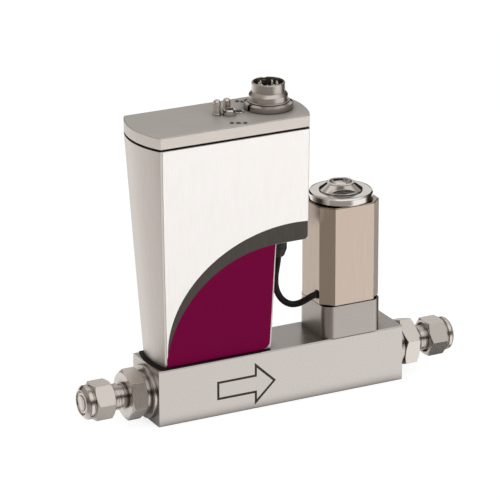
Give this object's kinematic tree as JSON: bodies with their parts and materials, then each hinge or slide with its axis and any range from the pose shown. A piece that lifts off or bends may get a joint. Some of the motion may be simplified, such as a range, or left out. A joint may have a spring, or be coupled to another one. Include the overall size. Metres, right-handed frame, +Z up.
{
  "type": "mass flow controller",
  "caption": "Thermal mass flow controller: steel base block with pipe fittings at both ends, tall flat electronics housing with a round plug on its lid, and an upright solenoid valve.",
  "frame": {"origin": "centre of the base block's underside", "axes": "+X along the flow, from inlet to outlet; -Y the labelled front; +Z up"},
  "size_m": [0.2016, 0.04, 0.1597],
  "materials": {
    "steel_block": "fine ground stainless steel",
    "steel_turned": "turned stainless steel",
    "steel_bright": "polished bright metal",
    "steel_cover": "satin warm grey",
    "housing_metal": "satin cast aluminium",
    "lid_metal": "satin aluminium, light edge",
    "inner_alu": "plain sheet",
    "screw_dark": "dark oxide",
    "black_rubber": "matt black",
    "black_plastic": "black",
    "grey_plastic": "ivory",
    "board_green": "green board",
    "label_print": "printed film",
    "engraving": "black filling",
    "dark_lens": "smoked clear",
    "gold_pins": "gold flash",
    "copper": "enamelled copper"
  },
  "bodies": {
    "controller": {"base_block": "steel_block", "flow_arrow": "engraving", "flow_splitter": "steel_turned", "inlet_filter": "steel_turned", "inlet_adapter": "steel_turned", "outlet_adapter": "steel_turned", "port_seals": "steel_bright", "inlet_nut": "steel_turned", "outlet_nut": "steel_turned", "front_ferrules": "steel_bright", "back_ferrules": "steel_turned", "sensor_base": "steel_block", "sensor_seals": "black_rubber", "capillary_tube": "steel_bright", "sensor_windings": "copper", "sensor_cover": "inner_alu", "sensor_screws": "screw_dark", "housing": "housing_metal", "housing_gasket": "black_rubber", "lid_gasket": "black_rubber", "lid": "lid_metal", "front_label": "label_print", "main_board": "board_green", "board_bracket": "inner_alu", "board_screws": "screw_dark", "board_parts": "black_plastic", "board_headers": "grey_plastic", "panel_board": "board_green", "panel_switch": "black_plastic", "panel_lamps": "dark_lens", "lens": "dark_lens", "lens_bezel": "steel_bright", "earth_posts": "steel_bright", "tie_rod": "steel_bright", "earth_nut": "steel_bright", "connector_shell": "steel_bright", "connector_insert": "black_plastic", "connector_pins": "gold_pins", "connector_nut": "steel_bright", "valve_cable": "black_rubber", "cable_gland": "black_plastic", "gland_cap": "black_plastic", "gland_locknut": "black_plastic", "valve_grommet": "black_rubber", "valve_base": "steel_block", "valve_base_screws": "screw_dark", "valve_seal": "black_rubber", "orifice_seat": "steel_turned", "plunger_spring": "steel_turned", "core_tube": "steel_turned", "pole_piece": "steel_turned", "coil_bobbin": "black_plastic", "coil_winding": "copper", "coil_cover": "steel_cover", "cap_disc": "steel_bright", "cap_nut": "steel_bright"},
    "plunger": {"plunger": "steel_turned", "plunger_pad": "black_rubber"},
    "button": {"switch_button": "black_plastic"}
  },
  "joints": [
    {"name": "plunger_lift", "type": "slide", "parent": "controller", "child": "plunger", "axis": [0, 0, 1], "range_m": [0, 0.0004], "stiffness_N_per_m": 1500, "springref_m": -0.002, "deforming": ["plunger_spring"]},
    {"name": "button_press", "type": "slide", "parent": "controller", "child": "button", "axis": [0, 0, -1], "range_m": [0, 0.0003], "stiffness_N_per_m": 1200, "springref_m": -0.0004}
  ]
}
